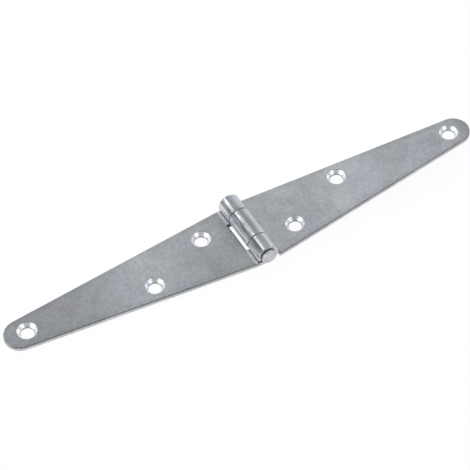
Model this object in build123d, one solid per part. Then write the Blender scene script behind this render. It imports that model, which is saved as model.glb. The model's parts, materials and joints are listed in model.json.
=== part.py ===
from build123d import *
import os
from math import asin, atan2, cos, degrees, hypot, radians, sin, tan

# A light double strap hinge: two tapered leaves of plated steel sheet, their knuckles rolled from the same
# sheet, on one riveted pin. The pin lies along Y above the origin, the leaves reach out along X, and their
# backs, which lie against gate and post, face down.

# Driving dimensions, in millimetres
LEAF_REACH = 100.0        # from the pin's axis to the tip of a leaf
BARREL_LENGTH = 29.8      # over the outer knuckles, and the width of a strap at its root
SHEET = 2.0
TIP_RADIUS = 6.4
EDGE_ROLL = 0.45          # rounding that blanking leaves along the edges of the face
EDGE_BREAK = 0.15         # bevel along the edges of the back and of the barrel
NOTCH_RADIUS = 0.4        # inside corners beside the knuckles
CORNER_RADIUS = 0.8       # free corners of the shoulders on the leaf with one knuckle

PIN_DIAMETER = 4.4
PIN_CLEARANCE = 0.05      # between pin and knuckle, on the radius
MIDDLE_KNUCKLE = 13.8
KNUCKLE_GAP = 0.2         # end play on each side of the middle knuckle
SHOULDER_GAP = 0.55       # from the barrel to the shoulder of a strap, along the leaf
SEAM_GAP = 0.7            # from the rolled lip down to the face of its own leaf

HEAD_DIAMETER = 6.3
HEAD_HEIGHT = 0.75
HEAD_BEVEL = 0.25
HEAD_PLAY = 0.35          # between a riveted head and the end of the barrel

SCREW_HOLE = 5.0
COUNTERSINK = 7.5
COUNTERSINK_ANGLE = 90.0  # degrees
NEAR_HOLE_REACH = 16.9    # hole beside the barrel, from the pin's axis
NEAR_HOLE_OFFSET = 5.95   # from the centre line of the strap
FAR_HOLE_REACH = 42.3     # hole along the strap, from the pin's axis
FAR_HOLE_OFFSET = 4.95
TIP_HOLE_INSET = 8.7      # from the tip

REST_FOLD = 4.2           # degrees that the right leaf stands up from flat as the hinge lies

# Sizes that follow from them
EYE_RADIUS = PIN_DIAMETER / 2 + PIN_CLEARANCE
BARREL_RADIUS = EYE_RADIUS + SHEET
SHOULDER = BARREL_RADIUS + SHOULDER_GAP
HALF_BARREL = BARREL_LENGTH / 2
HALF_MIDDLE = MIDDLE_KNUCKLE / 2
OUTER_START = HALF_MIDDLE + KNUCKLE_GAP
SINK_DEPTH = (COUNTERSINK - SCREW_HOLE) / 2 / tan(radians(COUNTERSINK_ANGLE / 2))
PIN_AXIS = Axis((0, 0, BARREL_RADIUS), (0, -1, 0))

TOUCH = 0.001             # how near counts as the same place when edges are picked
UPWARD = (Align.CENTER, Align.CENTER, Align.MIN)


def strap():
    """The flat strap from its shoulder to its rounded tip, lying along +X with its back at z = 0."""
    tip_centre = LEAF_REACH - TIP_RADIUS
    run = tip_centre - SHOULDER
    taper = atan2(HALF_BARREL, run) - asin(TIP_RADIUS / hypot(run, HALF_BARREL))
    touch_x = tip_centre + TIP_RADIUS * sin(taper)
    touch_y = TIP_RADIUS * cos(taper)
    outline = [
        Line((SHOULDER, -HALF_BARREL), (touch_x, -touch_y)),
        ThreePointArc((touch_x, -touch_y), (LEAF_REACH, 0), (touch_x, touch_y)),
        Line((touch_x, touch_y), (SHOULDER, HALF_BARREL)),
        Line((SHOULDER, HALF_BARREL), (SHOULDER, -HALF_BARREL)),
    ]
    return extrude(make_face(outline), SHEET)


def rolled_section():
    """Section of a knuckle: the sheet runs in under the pin, up, over and down to its own leaf's face."""
    centre = (0, BARREL_RADIUS)
    lip = asin((SHEET + SEAM_GAP - BARREL_RADIUS) / BARREL_RADIUS)
    wrap = degrees(lip) + 90 - 360
    lip_outer = (BARREL_RADIUS * cos(lip), BARREL_RADIUS + BARREL_RADIUS * sin(lip))
    lip_inner = (EYE_RADIUS * cos(lip), BARREL_RADIUS + EYE_RADIUS * sin(lip))
    outline = [
        Line((SHOULDER, 0), (0, 0)),
        CenterArc(centre, BARREL_RADIUS, -90, wrap),
        Line(lip_outer, lip_inner),
        CenterArc(centre, EYE_RADIUS, degrees(lip), -wrap),
        Line((0, SHEET), (SHOULDER, SHEET)),
        Line((SHOULDER, SHEET), (SHOULDER, 0)),
    ]
    return make_face(outline)


def knuckle(start, end):
    """One rolled knuckle from y = start to y = end, with the tongue that joins it to the strap."""
    section = Plane.XZ.offset(-end) * rolled_section()
    return extrude(section, end - start)


def shoulder_corners(body, nearest, furthest):
    """Upright edges on the line of the shoulders, between these distances from the strap's centre line."""
    upright = body.edges().filter_by(Axis.Z).filter_by_position(Axis.X, SHOULDER - TOUCH, SHOULDER + TOUCH)
    return [edge for edge in upright if nearest < abs(edge.center().Y) < furthest]


def sheared_edges(body, height, radius):
    """Edges of one side of the sheet: its flat outline at this height and its round ends at this radius."""
    flat = body.edges().filter_by_position(Axis.Z, height - TOUCH, height + TOUCH)
    outline = flat.filter_by_position(Axis.X, TOUCH, LEAF_REACH + TOUCH)
    arcs = body.edges().filter_by(GeomType.CIRCLE)
    return outline + [edge for edge in arcs if abs(edge.radius - radius) < TOUCH]


def screw_hole(x, y):
    """Cutter for one screw hole, countersunk from the face."""
    drill = Pos(x, y, 0) * Cylinder(SCREW_HOLE / 2, SHEET, align=UPWARD)
    sink = Pos(x, y, SHEET - SINK_DEPTH) * Cone(SCREW_HOLE / 2, COUNTERSINK / 2, SINK_DEPTH, align=UPWARD)
    return drill + sink


def leaf(knuckles, free_corners):
    """A whole leaf along +X, with a knuckle for each (start, end) pair and any free corners rounded."""
    body = strap()
    for start, end in knuckles:
        body += knuckle(start, end)
    body = fillet(shoulder_corners(body, 0, HALF_BARREL - TOUCH), NOTCH_RADIUS)
    if free_corners:
        body = fillet(shoulder_corners(body, HALF_BARREL - TOUCH, BARREL_LENGTH), CORNER_RADIUS)
    body = fillet(sheared_edges(body, SHEET, EYE_RADIUS), EDGE_ROLL)
    body = chamfer(sheared_edges(body, 0, BARREL_RADIUS), EDGE_BREAK)
    body -= screw_hole(NEAR_HOLE_REACH, -NEAR_HOLE_OFFSET)
    body -= screw_hole(FAR_HOLE_REACH, FAR_HOLE_OFFSET)
    body -= screw_hole(LEAF_REACH - TIP_HOLE_INSET, 0)
    return body


def left_leaf():
    """The leaf with the two outer knuckles, turned half round to lie along -X."""
    outer_knuckles = [(-HALF_BARREL, -OUTER_START), (OUTER_START, HALF_BARREL)]
    return Rot(0, 0, 180) * leaf(outer_knuckles, free_corners=False)


def right_leaf():
    """The leaf with the middle knuckle, turned up about the pin to where it lies at rest."""
    return leaf([(-HALF_MIDDLE, HALF_MIDDLE)], free_corners=True).rotate(PIN_AXIS, REST_FOLD)


def hinge_pin():
    """The pin, riveted over at both ends."""
    seat = HALF_BARREL + HEAD_PLAY
    head = Cylinder(HEAD_DIAMETER / 2, HEAD_HEIGHT, align=UPWARD)
    head = chamfer(head.edges().filter_by(GeomType.CIRCLE).sort_by(Axis.Z)[-1], HEAD_BEVEL)
    pin = Cylinder(PIN_DIAMETER / 2, 2 * seat)
    pin += Pos(0, 0, seat) * head
    pin += Rot(180, 0, 0) * Pos(0, 0, seat) * head
    return Pos(0, 0, BARREL_RADIUS) * Rot(90, 0, 0) * pin


os.makedirs("parts", exist_ok=True)
for make in (left_leaf, right_leaf, hinge_pin):
    export_step(make(), f"parts/{make.__name__}.step")
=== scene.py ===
import json
import math

import bpy
from mathutils import Matrix, Vector


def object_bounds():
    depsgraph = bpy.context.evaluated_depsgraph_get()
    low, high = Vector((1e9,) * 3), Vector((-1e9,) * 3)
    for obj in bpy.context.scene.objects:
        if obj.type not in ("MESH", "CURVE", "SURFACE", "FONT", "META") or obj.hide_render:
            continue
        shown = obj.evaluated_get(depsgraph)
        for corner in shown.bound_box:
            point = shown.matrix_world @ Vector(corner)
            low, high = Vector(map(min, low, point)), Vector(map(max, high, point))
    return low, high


# Looks of a zinc-plated strap hinge: materials for its two leaves and its pin, a white floor, soft light
# and the camera. All places are in metres, in the frame of the CAD part.

MM = 0.001


def mm(*lengths):
    """Turns lengths in millimetres into metres."""
    return tuple(length * MM for length in lengths)


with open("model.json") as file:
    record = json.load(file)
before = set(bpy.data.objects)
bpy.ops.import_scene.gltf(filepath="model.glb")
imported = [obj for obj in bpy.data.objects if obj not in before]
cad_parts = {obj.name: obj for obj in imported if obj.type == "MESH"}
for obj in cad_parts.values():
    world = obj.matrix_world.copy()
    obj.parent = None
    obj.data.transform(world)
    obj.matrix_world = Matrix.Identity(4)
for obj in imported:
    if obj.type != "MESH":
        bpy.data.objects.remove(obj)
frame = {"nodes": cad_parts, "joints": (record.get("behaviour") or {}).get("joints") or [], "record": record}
cad_low, cad_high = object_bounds()
nodes = frame["nodes"]
mounts = frame["record"]["mounts"]
pin_centre = Vector(frame["joints"][0]["pos_m"])
BARREL_RADIUS = pin_centre.z

# Directions, and the two ways that a share runs along a span
RIGHT = (1, 0, 0)
LEFT = (-1, 0, 0)
REAR = (0, 1, 0)
UP = (0, 0, 1)
RISE = (0.0, 1.0)
FALL = (1.0, 0.0)

# Tints of the plating, and how far they wander
ZINC_TINT = (0.952, 1.0, 1.064)
WARM_SHIFT = (0.017, 0, 0)
BLUE_SHIFT = (0, 0, 0.023)
SHEARED_SHIFT = (0.030, 0, -0.040)
PIN_TINT = (1.0, 0.985, 1.055)

# Share of light that the plating returns from place to place, with painted light and shade among them
BARREL_TONE = 0.287
# Painted light low on both sides of the barrel
FLANK_PAINTED_LIGHT = 0.72
FLANK_MATT_AND_PAINTED_LIGHT_SHARES = {"left": (0.80, 0.62), "right": (0.75, 0.85)}
# Painted shade in the crevices beside the knuckles
RECESS_PAINTED_SHADE = 0.04
WALL_TONE = 0.53
# Painted light on the countersinks' cones and painted shade on the lands below
SINK_PAINTED_LIGHT = 0.97
LAND_PAINTED_SHADE = 0.35
# Painted shade on the rolled-over edges and the tops of the sheet's sides
EDGE_PAINTED_SHADE = 0.24
# Painted shade near the long edges of each strap
RIM_PAINTED_SHADE = 0.90
# Painted reflection of the barrel on the left leaf's face beside it
PAINTED_REFLECTION_TONE = 0.70
PIN_TONE = 0.50
SCORE_TONES = (0.55, 1.20)
STRAP_PLACES = mm(24, 40, 70, 92, 99)
# Painted light and shade along each strap, from beside the barrel to the tip
STRAP_PAINTED_TONES = {
    "left": (0.32, 0.38, 0.26, 0.25, 0.25),
    "right": (0.38, 0.41, 0.37, 0.36, 0.27),
}

# Noise in the plating: sizes, swings of tone, the spans of noise that they use, and fineness
GRAIN = 1.5 * MM
SPECK = 0.6 * MM
CLOUD = 6 * MM
PATCH = 26 * MM
TINT_PATCH = 20 * MM
STREAK = 0.8 * MM
SCORE = 0.55 * MM
DIMPLE = 1.5 * MM
GRAIN_SWING = 0.06
SPECK_SWING = 0.08
CLOUD_SWING = 0.05
PATCH_SWING = 0.07
TINT_SWING = 1.0
FINE_SPAN = (0.30, 0.70)
BROAD_SPAN = (0.32, 0.68)
SCORE_SPAN = (0.36, 0.56)
FINE_DETAIL = 2.0
BROAD_DETAIL = 1.0
STREAK_STRETCH = 0.05
SCORE_STRETCH = 0.08
SHEET_SHIFTS = {"left": 0.0, "right": 40 * MM}
SCORE_SHIFTS = {"left": 12.33 * MM, "right": 40 * MM}
PIN_SHIFT = 3.1 * MM

# Spans of how a surface leans, over which one look passes into the next
EDGE_LEVELS = (0.78, 0.93)
WALL_LEVELS = (0.05, 0.22)
REFLECTION_LEVELS = (0.5, 0.9)
END_TURNS = (0.60, 0.90)
LEFT_FLANK = (-0.97, -0.78)
RIGHT_FLANK = (0.22, 0.85)
SCORED_SIDE = (-0.52, -0.22)

# Spans of place, over which one look passes into the next
BARREL_FADE = (BARREL_RADIUS + 0.05 * MM, BARREL_RADIUS + 0.6 * MM)
SEAM_FOOT = mm(1.7, 1.9)
SEAM_TOP = mm(2.7, 2.9)
SEAM_SIDE = mm(0, 1)
NOTCH_EDGE = mm(5.15, 5.35)
NOTCH_END = mm(7.1, 7.4)
REFLECTION_REACH = mm(4.4, 5.8)
REFLECTION_START = mm(6.8, 7.4)
REAR_START = mm(6.9, 7.1)
ROLL_FOOT = mm(1.15, 1.50)
RIM_INSET = mm(0, 3.5)
SINK_FOOT = mm(0, 0.12)
SINK_RIM = mm(3.63, 3.75)
LAND_RIM = mm(2.5, 2.62)

# Strap: half its width at the pin's axis, what it loses along its length, and half the height of a land
ROOT_HALF = 15.36 * MM
TAPER = 0.0955
LAND_HALF = 0.375 * MM

# Roughness, from the darkest plating to the lightest where there are two values
LIGHT_SPAN = (0.85, 1.15)
SATIN = (0.49, 0.43)
BURNISHED = (0.35, 0.29)
PIN_ROUGHNESS = (0.42, 0.32)
FLANK_ROUGHNESS = 0.55
SINK_ROUGHNESS = 0.30

# How metallic each place is
STRAP_METAL = 0.65
BRIGHT_METAL = 0.95
FLANK_METAL = 0.35
SINK_METAL = 0.70
PIN_METAL = 1.0

# Depth and strength of each bump, and the even height that takes the grain's place on the barrel
STREAK_BUMP = (0.20 * MM, 0.7)
TILT_BUMP = (0.13 * MM, 1.0)
GRAIN_BUMP = (0.04 * MM, 0.3)
DIMPLE_BUMP = (0.08 * MM, 0.5)
EVEN_HEIGHT = 0.5


class Shader:
    """A new node material, with short helpers for the nodes that these materials share."""

    def __init__(self, name):
        self.material = bpy.data.materials.new(name)
        self.material.use_nodes = True
        self.nodes = self.material.node_tree.nodes
        self.links = self.material.node_tree.links
        self.surface = self.nodes["Principled BSDF"]
        where = self.nodes.new("ShaderNodeTexCoord")
        self.place = where.outputs["Object"]
        self.facing = where.outputs["Normal"]

    def feed(self, socket, value):
        """Links an output to a socket, or sets a constant on it."""
        if isinstance(value, bpy.types.NodeSocket):
            self.links.new(value, socket)
        else:
            socket.default_value = value

    def vector(self, operation, first, second=(0, 0, 0)):
        node = self.nodes.new("ShaderNodeVectorMath")
        node.operation = operation
        self.feed(node.inputs[0], first)
        self.feed(node.inputs[1], second)
        return node.outputs["Value" if operation in ("LENGTH", "DOT_PRODUCT") else "Vector"]

    def along(self, direction):
        """How far a place lies from the origin in one direction."""
        return self.vector("DOT_PRODUCT", self.place, direction)

    def lean(self, direction):
        """How much the surface faces one direction, from -1 to 1."""
        return self.vector("DOT_PRODUCT", self.facing, direction)

    def math(self, operation, first, *others):
        """One operation, taken over two or more values from left to right."""
        result = first
        for other in others:
            node = self.nodes.new("ShaderNodeMath")
            node.operation = operation
            self.feed(node.inputs[0], result)
            self.feed(node.inputs[1], other)
            result = node.outputs[0]
        return result

    def unsigned(self, value):
        """The value without its sign."""
        node = self.nodes.new("ShaderNodeMath")
        node.operation = "ABSOLUTE"
        self.feed(node.inputs[0], value)
        return node.outputs[0]

    def ramp(self, value, span, ends=RISE):
        """Smooth passage from one end to the other as the value crosses its span."""
        node = self.nodes.new("ShaderNodeMapRange")
        node.interpolation_type = "SMOOTHSTEP"
        self.feed(node.inputs["Value"], value)
        node.inputs["From Min"].default_value, node.inputs["From Max"].default_value = span
        node.inputs["To Min"].default_value, node.inputs["To Max"].default_value = ends
        return node.outputs["Result"]

    def noise(self, size, shift=0.0, place=None, detail=FINE_DETAIL):
        node = self.nodes.new("ShaderNodeTexNoise")
        node.inputs["Scale"].default_value = 1 / size
        node.inputs["Detail"].default_value = detail
        moved = self.vector("ADD", place or self.place, (shift, shift, shift))
        self.links.new(moved, node.inputs["Vector"])
        return node.outputs["Fac"]

    def blend(self, share, first, second):
        node = self.nodes.new("ShaderNodeMix")
        self.feed(node.inputs["Factor"], share)
        self.feed(node.inputs["A"], first)
        self.feed(node.inputs["B"], second)
        return node.outputs["Result"]

    def tinted(self, tint, tone):
        node = self.nodes.new("ShaderNodeVectorMath")
        node.operation = "SCALE"
        self.feed(node.inputs[0], tint)
        self.feed(node.inputs["Scale"], tone)
        return node.outputs["Vector"]

    def bump(self, height, relief, under=None):
        """Bump of a given depth and strength, on top of another one if there is one under it."""
        node = self.nodes.new("ShaderNodeBump")
        node.inputs["Distance"].default_value, node.inputs["Strength"].default_value = relief
        self.feed(node.inputs["Height"], height)
        if under:
            self.links.new(under, node.inputs["Normal"])
        return node.outputs["Normal"]


def blotches(shader, size, shift, swing, span, detail):
    """Soft blotches of one size, which swing to either side of 0."""
    return shader.ramp(shader.noise(size, shift, detail=detail), span, (-swing, swing))


def mottle(shader, shift):
    """How light the plating is from place to place, about 1: grain, specks, clouds and broad patches."""
    grain = blotches(shader, GRAIN, shift, GRAIN_SWING, FINE_SPAN, FINE_DETAIL)
    speck = blotches(shader, SPECK, shift, SPECK_SWING, FINE_SPAN, FINE_DETAIL)
    cloud = blotches(shader, CLOUD, shift, CLOUD_SWING, FINE_SPAN, BROAD_DETAIL)
    patch = blotches(shader, PATCH, shift, PATCH_SWING, BROAD_SPAN, BROAD_DETAIL)
    return shader.math("ADD", 1.0, patch, cloud, grain, speck)


def zinc_tint(shader, shift):
    """Tint of the plating, which wanders a little to warm and to blue as its passive film thickens."""
    warm = blotches(shader, TINT_PATCH, shift + TINT_PATCH, TINT_SWING, BROAD_SPAN, BROAD_DETAIL)
    blue = blotches(shader, TINT_PATCH, shift - TINT_PATCH, TINT_SWING, BROAD_SPAN, BROAD_DETAIL)
    film = shader.vector("ADD", shader.tinted(WARM_SHIFT, warm), shader.tinted(BLUE_SHIFT, blue))
    return shader.vector("ADD", film, ZINC_TINT)


def drawn_lines(shader, size, shift, stretch):
    """Noise that is drawn out along the barrel into fine lines."""
    place = shader.vector("MULTIPLY", shader.place, (1, stretch, 1))
    return shader.noise(size, shift, place, BROAD_DETAIL)


def axis_reach(shader, point, axis):
    """Distance to the axis through a point."""
    offset = shader.vector("SUBTRACT", shader.place, point)
    return shader.vector("LENGTH", shader.vector("CROSS_PRODUCT", offset, axis))


def hole_reach(shader, bores):
    """Distance to the axis of the nearest screw hole."""
    reaches = [axis_reach(shader, Vector(bore["pos_m"]), Vector(bore["axis"])) for bore in bores]
    return shader.math("MINIMUM", *reaches)


def leaf_height(shader, bores):
    """Height above the back of a leaf, from a bore mount, which lies halfway up the land of its hole."""
    offset = shader.vector("SUBTRACT", shader.place, Vector(bores[0]["pos_m"]))
    return shader.math("ADD", shader.vector("DOT_PRODUCT", offset, Vector(bores[0]["axis"])), LAND_HALF)


def levelness(shader):
    """1 where the surface lies flat and 0 where it stands upright."""
    return shader.unsigned(shader.lean(UP))


def barrel_share(shader):
    """1 on the rolled knuckles and 0 on the strap, from the distance to the pin's axis."""
    return shader.ramp(axis_reach(shader, pin_centre, REAR), BARREL_FADE, FALL)


def edge_share(shader):
    """1 on the rolled-over edges and sides of a strap, which the blanking tool has burnished, and which
    carry painted shade.
    """
    return shader.ramp(levelness(shader), EDGE_LEVELS, FALL)


def wall_share(shader, barrel):
    """1 on the sheared sides of the sheet, which stand upright, and on the ends of the knuckles."""
    side = shader.math("SUBTRACT", shader.ramp(levelness(shader), WALL_LEVELS, FALL), barrel)
    end = shader.ramp(shader.unsigned(shader.lean(REAR)), END_TURNS)
    return shader.math("MAXIMUM", side, end)


def matt_flank_with_painted_light(shader, barrel, side):
    """High low down on both sides of the barrel, which is matt there and carries painted light that stands
    in for reflections.
    """
    most_left, most_right = FLANK_MATT_AND_PAINTED_LIGHT_SHARES[side]
    left = shader.ramp(shader.lean(RIGHT), LEFT_FLANK, (most_left, 0.0))
    right = shader.ramp(shader.lean(RIGHT), RIGHT_FLANK, (0.0, most_right))
    return shader.math("MULTIPLY", shader.math("MAXIMUM", left, right), barrel)


def painted_seam_shade(shader, barrel, outward):
    """1 in the crevice under a rolled lip, where the face carries painted shade."""
    over = shader.ramp(shader.along(UP), SEAM_FOOT)
    under = shader.ramp(shader.along(UP), SEAM_TOP, FALL)
    own_side = shader.ramp(shader.along(outward), SEAM_SIDE)
    return shader.math("MULTIPLY", barrel, under, over, own_side)


def painted_notch_shade(shader, barrel):
    """1 along the edge of the notch between the outer knuckles, where the face carries painted shade."""
    near = shader.math("SUBTRACT", shader.ramp(shader.along(LEFT), NOTCH_EDGE, FALL), barrel)
    between = shader.ramp(shader.unsigned(shader.along(REAR)), NOTCH_END, FALL)
    return shader.math("MULTIPLY", near, between)


def painted_recess_shade(shader, barrel, side):
    """1 in the crevices beside the knuckles of a leaf, which carry painted shade."""
    if side == "right":
        return painted_seam_shade(shader, barrel, RIGHT)
    return shader.math("MAXIMUM", painted_seam_shade(shader, barrel, LEFT), painted_notch_shade(shader, barrel))


def painted_reflection_share(shader, barrel):
    """High on the face of the left leaf beside its knuckles, where a painted reflection of the barrel
    lightens it.
    """
    near = shader.math("SUBTRACT", shader.ramp(shader.along(LEFT), REFLECTION_REACH, FALL), barrel)
    beside = shader.ramp(shader.unsigned(shader.along(REAR)), REFLECTION_START)
    upward = shader.ramp(shader.lean(UP), REFLECTION_LEVELS)
    return shader.math("MULTIPLY", near, beside, upward)


def sink_share(shader, height, reach):
    """1 in the countersinks and screw holes, and 0 on the face and the back."""
    above_back = shader.ramp(height, SINK_FOOT)
    inside = shader.ramp(reach, SINK_RIM, FALL)
    return shader.math("MULTIPLY", inside, above_back)


def painted_strap_tone(shader, side):
    """How light a strap is along its length, from beside the barrel to the tip: painted light and shade that
    stand in for soft reflections.
    """
    reach = shader.unsigned(shader.along(RIGHT))
    tones = STRAP_PAINTED_TONES[side]
    total = tones[0]
    for start, end, first, second in zip(STRAP_PLACES, STRAP_PLACES[1:], tones, tones[1:]):
        total = shader.math("ADD", shader.ramp(reach, (start, end), (0.0, second - first)), total)
    return total


def painted_rim_shade(shader):
    """How light the face is near the long edges of a strap: painted shade that darkens it towards the edges.
    """
    reach = shader.unsigned(shader.along(RIGHT))
    half_width = shader.math("SUBTRACT", ROOT_HALF, shader.math("MULTIPLY", reach, TAPER))
    inset = shader.math("SUBTRACT", half_width, shader.unsigned(shader.along(REAR)))
    return shader.ramp(inset, RIM_INSET, (RIM_PAINTED_SHADE, 1.0))


def face_tone(shader, barrel, side):
    """How light the face of a leaf is, with painted light and shade along it and near its edges, and a
    painted reflection strip on the left one.
    """
    # Painted light and shade along the strap, and painted shade near its long edges
    tone = shader.math("MULTIPLY", painted_strap_tone(shader, side), painted_rim_shade(shader))
    if side == "left":
        # Painted reflection of the barrel on the left leaf's face beside it
        tone = shader.blend(painted_reflection_share(shader, barrel), tone, PAINTED_REFLECTION_TONE)
    return tone


def score_tone(shader, barrel, side):
    """Scores that the rolling tool has left along the barrel's left side, and 1 everywhere else."""
    lines = drawn_lines(shader, SCORE, SCORE_SHIFTS[side], SCORE_STRETCH)
    scores = shader.ramp(lines, SCORE_SPAN, SCORE_TONES)
    scored = shader.math("MULTIPLY", shader.ramp(shader.lean(RIGHT), SCORED_SIDE, FALL), barrel)
    return shader.blend(scored, 1.0, scores)


def wall_tone(shader, barrel, height):
    """How light the sides of the sheet are: painted shade where the upper edge rolls over, and light below.
    """
    rolled = shader.math("SUBTRACT", shader.ramp(height, ROLL_FOOT), barrel)
    return shader.blend(rolled, WALL_TONE, EDGE_PAINTED_SHADE)


def painted_sink_light_and_shade(shader, reach):
    """How light a screw hole is: painted light on its cone and painted shade on the straight land below."""
    land = shader.ramp(reach, LAND_RIM, FALL)
    return shader.blend(land, SINK_PAINTED_LIGHT, LAND_PAINTED_SHADE)


def rear_tilt(shader, barrel):
    """Height, in millimetres, that tilts the rear knuckle, which is rolled a little out of true."""
    across = shader.math("DIVIDE", shader.along(LEFT), MM)
    rear = shader.ramp(shader.along(REAR), REAR_START)
    return shader.math("MULTIPLY", across, rear, barrel)


def plated_sheet(name, side):
    """Satin zinc plate on sheet: mottled straps, a burnished and streaked barrel, and painted light and
    shade on the straps, barrel sides, edges, crevices and countersinks.
    """
    shader = Shader(name)
    shift = SHEET_SHIFTS[side]
    bores = [mount for mount in mounts if mount["kind"] == "bore" and mount["name"].startswith(side)]
    light = mottle(shader, shift)
    barrel = barrel_share(shader)
    edge = edge_share(shader)
    bright = shader.math("MAXIMUM", barrel, edge)
    wall = wall_share(shader, barrel)
    flank = matt_flank_with_painted_light(shader, barrel, side)
    height = leaf_height(shader, bores)
    reach = hole_reach(shader, bores)
    sink = sink_share(shader, height, reach)

    # Painted shade on the rolled-over edges
    tone = shader.blend(edge, face_tone(shader, barrel, side), EDGE_PAINTED_SHADE)
    tone = shader.blend(barrel, tone, BARREL_TONE)
    # Painted light low on both sides of the barrel
    tone = shader.blend(flank, tone, FLANK_PAINTED_LIGHT)
    tone = shader.math("MULTIPLY", tone, score_tone(shader, barrel, side))
    # Painted shade along the tops of the sheet's sides
    tone = shader.blend(wall, tone, wall_tone(shader, barrel, height))
    # Painted shade in the crevices beside the knuckles
    tone = shader.blend(painted_recess_shade(shader, barrel, side), tone, RECESS_PAINTED_SHADE)
    # Painted light on the countersinks' cones and painted shade on the lands below
    tone = shader.blend(sink, tone, painted_sink_light_and_shade(shader, reach))
    tone = shader.math("MULTIPLY", tone, light)
    tint = shader.vector("ADD", zinc_tint(shader, shift), shader.tinted(SHEARED_SHIFT, wall))
    shader.feed(shader.surface.inputs["Base Color"], shader.tinted(tint, tone))

    satin = shader.ramp(light, LIGHT_SPAN, SATIN)
    burnished = shader.ramp(light, LIGHT_SPAN, BURNISHED)
    roughness = shader.blend(bright, satin, burnished)
    roughness = shader.blend(flank, roughness, FLANK_ROUGHNESS)
    roughness = shader.blend(sink, roughness, SINK_ROUGHNESS)
    shader.feed(shader.surface.inputs["Roughness"], roughness)

    metal = shader.blend(bright, STRAP_METAL, BRIGHT_METAL)
    metal = shader.blend(flank, metal, FLANK_METAL)
    metal = shader.blend(sink, metal, SINK_METAL)
    shader.feed(shader.surface.inputs["Metallic"], metal)

    streaks = drawn_lines(shader, STREAK, shift, STREAK_STRETCH)
    drawn = shader.bump(shader.math("MULTIPLY", streaks, barrel), STREAK_BUMP)
    tilted = shader.bump(rear_tilt(shader, barrel), TILT_BUMP, drawn)
    grain = shader.blend(barrel, shader.noise(GRAIN, shift), EVEN_HEIGHT)
    shader.feed(shader.surface.inputs["Normal"], shader.bump(grain, GRAIN_BUMP, tilted))
    return shader.material


def plated_pin(name):
    """Bright zinc plate on the pin, its heads dimpled by riveting."""
    shader = Shader(name)
    light = mottle(shader, PIN_SHIFT)
    tone = shader.math("MULTIPLY", light, PIN_TONE)
    shader.feed(shader.surface.inputs["Base Color"], shader.tinted(PIN_TINT, tone))
    shader.feed(shader.surface.inputs["Roughness"], shader.ramp(light, LIGHT_SPAN, PIN_ROUGHNESS))
    shader.feed(shader.surface.inputs["Metallic"], PIN_METAL)
    shader.feed(shader.surface.inputs["Normal"], shader.bump(shader.noise(DIMPLE), DIMPLE_BUMP))
    return shader.material


def dress(node, material):
    """Gives a CAD node its one material."""
    nodes[node].data.materials.clear()
    nodes[node].data.materials.append(material)


dress("left_leaf", plated_sheet("left_plated_sheet", "left"))
dress("right_leaf", plated_sheet("right_plated_sheet", "right"))
dress("hinge_pin", plated_pin("plated_pin"))

# Floor: white to the camera and in reflections, with a little plain diffuse that keeps the shadow
FLOOR_HALF = 12.0
FLOOR_DROP = 0.02 * MM
FLOOR_GLOW = 0.95
FLOOR_WHITE = (0.95, 0.95, 0.95, 1)
FLOOR_CORNERS = ((-1, -1), (1, -1), (1, 1), (-1, 1))


def floor_material():
    """Mostly white glow where a camera or mirror ray meets it, and plain white for the other rays."""
    material = bpy.data.materials.new("floor_white")
    material.use_nodes = True
    tree = material.node_tree
    tree.nodes.clear()
    output = tree.nodes.new("ShaderNodeOutputMaterial")
    mix = tree.nodes.new("ShaderNodeMixShader")
    matt = tree.nodes.new("ShaderNodeBsdfDiffuse")
    matt.inputs["Color"].default_value = FLOOR_WHITE
    glow = tree.nodes.new("ShaderNodeEmission")
    path = tree.nodes.new("ShaderNodeLightPath")
    seen = path.outputs["Is Camera Ray"]
    for ray in ("Is Glossy Ray", "Is Transmission Ray"):
        either = tree.nodes.new("ShaderNodeMath")
        either.operation = "MAXIMUM"
        tree.links.new(seen, either.inputs[0])
        tree.links.new(path.outputs[ray], either.inputs[1])
        seen = either.outputs[0]
    share = tree.nodes.new("ShaderNodeMath")
    share.operation = "MULTIPLY"
    share.inputs[1].default_value = FLOOR_GLOW
    tree.links.new(seen, share.inputs[0])
    tree.links.new(share.outputs[0], mix.inputs["Fac"])
    tree.links.new(matt.outputs[0], mix.inputs[1])
    tree.links.new(glow.outputs[0], mix.inputs[2])
    tree.links.new(mix.outputs[0], output.inputs["Surface"])
    return material


def floor():
    """One wide square just under the hinge."""
    mesh = bpy.data.meshes.new("floor")
    low = cad_low.z - FLOOR_DROP
    corners = [(x * FLOOR_HALF, y * FLOOR_HALF, low) for x, y in FLOOR_CORNERS]
    mesh.from_pydata(corners, [], [(0, 1, 2, 3)])
    mesh.materials.append(floor_material())
    made = bpy.data.objects.new("floor", mesh)
    bpy.context.scene.collection.objects.link(made)


floor()

# Studio: a room that is light behind and to the right and dark on the camera's side, with soft boxes
ROOM_AXIS = (0.45, 0.89, 0)
ROOM_RISE = (-0.60, 0.70)
ROOM_LIGHT = (0.98, 0.98, 0.99, 1)
ROOM_DARK = (0.17, 0.17, 0.174, 1)
PLAIN = (1, 1, 1)
WARM = (1, 0.97, 0.93)
LAMP_DISTANCE = 1.3
LAMPS = {
    "back_box": {"toward": (-0.30, 0.556, 0.775), "size": (0.33, 0.33), "radiance": 6.6, "tint": WARM},
    "left_box": {"toward": (-0.98, 0.05, 0.18), "size": (1.00, 0.80), "radiance": 1.8},
    "low_box": {"toward": (-0.60, -0.78, 0.17), "size": (0.30, 0.30), "radiance": 4.0},
    "high_left_box": {"toward": (-0.82, 0.00, 0.53), "size": (0.80, 0.80), "radiance": 1.2},
    "front_box": {"toward": (0.35, -0.75, 0.55), "size": (0.80, 0.80), "radiance": 1.2},
    "top_box": {"toward": (0.0, 0.0, 1.0), "size": (0.50, 0.50), "radiance": 3.0},
    "right_panel": {"toward": (0.90, 0.42, 0.10), "size": (1.60, 1.40), "radiance": 0.80},
}


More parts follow.
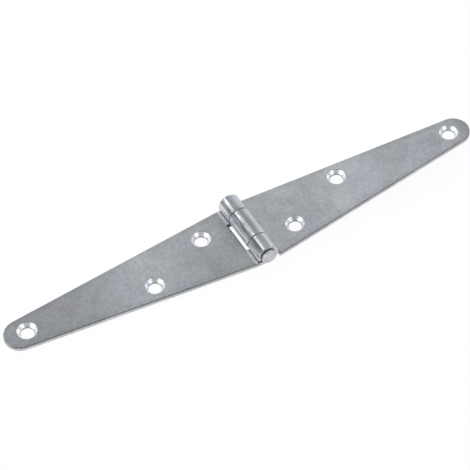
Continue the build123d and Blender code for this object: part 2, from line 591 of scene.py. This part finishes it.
def room():
    """A world that passes smoothly from dark to light along one axis."""
    world = bpy.data.worlds.new("studio")
    world.use_nodes = True
    tree = world.node_tree
    direction = tree.nodes.new("ShaderNodeTexCoord").outputs["Generated"]
    along = tree.nodes.new("ShaderNodeVectorMath")
    along.operation = "DOT_PRODUCT"
    along.inputs[1].default_value = ROOM_AXIS
    tree.links.new(direction, along.inputs[0])
    share = tree.nodes.new("ShaderNodeMapRange")
    share.interpolation_type = "SMOOTHSTEP"
    share.inputs["From Min"].default_value, share.inputs["From Max"].default_value = ROOM_RISE
    tree.links.new(along.outputs["Value"], share.inputs["Value"])
    tone = tree.nodes.new("ShaderNodeMix")
    tone.data_type = "RGBA"
    tone.inputs["A"].default_value = ROOM_DARK
    tone.inputs["B"].default_value = ROOM_LIGHT
    tree.links.new(share.outputs["Result"], tone.inputs["Factor"])
    tree.links.new(tone.outputs["Result"], tree.nodes["Background"].inputs["Color"])
    bpy.context.scene.world = world


def lamp(name, toward, size, radiance, tint=PLAIN):
    """A rectangular soft box that faces the origin; radiance is what a mirror would show of it."""
    data = bpy.data.lights.new(name, "AREA")
    data.shape = "RECTANGLE"
    data.size, data.size_y = size
    data.color = tint
    data.energy = radiance * math.pi * size[0] * size[1]
    made = bpy.data.objects.new(name, data)
    away = Vector(toward).normalized()
    made.location = away * LAMP_DISTANCE
    made.rotation_euler = away.to_track_quat("Z", "Y").to_euler()
    made.visible_camera = False
    bpy.context.scene.collection.objects.link(made)


room()
for lamp_name, settings in LAMPS.items():
    lamp(lamp_name, **settings)

# Camera: the photograph's view, found from the holes and edges of both leaves
AZIMUTH = math.radians(-30.055)
ELEVATION = math.radians(50.036)
DISTANCE = 561.8 * MM
AIM_RIGHT = -4.878 * MM
AIM_UP = 0.323 * MM
CLIP_START = 10 * MM
PIXELS_PER_METRE = 2651.0
IMAGE_SIDE = 470
SENSOR = 36.0


def camera():
    """A camera that looks at a point a little beside the origin."""
    level = math.cos(ELEVATION)
    back = Vector((math.sin(AZIMUTH) * level, -math.cos(AZIMUTH) * level, math.sin(ELEVATION)))
    right = Vector((math.cos(AZIMUTH), math.sin(AZIMUTH), 0))
    up = back.cross(right)
    data = bpy.data.cameras.new("camera")
    data.sensor_width = SENSOR
    data.lens = PIXELS_PER_METRE * DISTANCE / IMAGE_SIDE * SENSOR
    data.clip_start = CLIP_START
    made = bpy.data.objects.new("camera", data)
    turn = Matrix((right, up, back)).transposed().to_4x4()
    made.matrix_world = Matrix.Translation(right * AIM_RIGHT + up * AIM_UP + back * DISTANCE) @ turn
    bpy.context.scene.collection.objects.link(made)
    bpy.context.scene.camera = made


camera()
bpy.context.scene.view_settings.view_transform = "Standard"
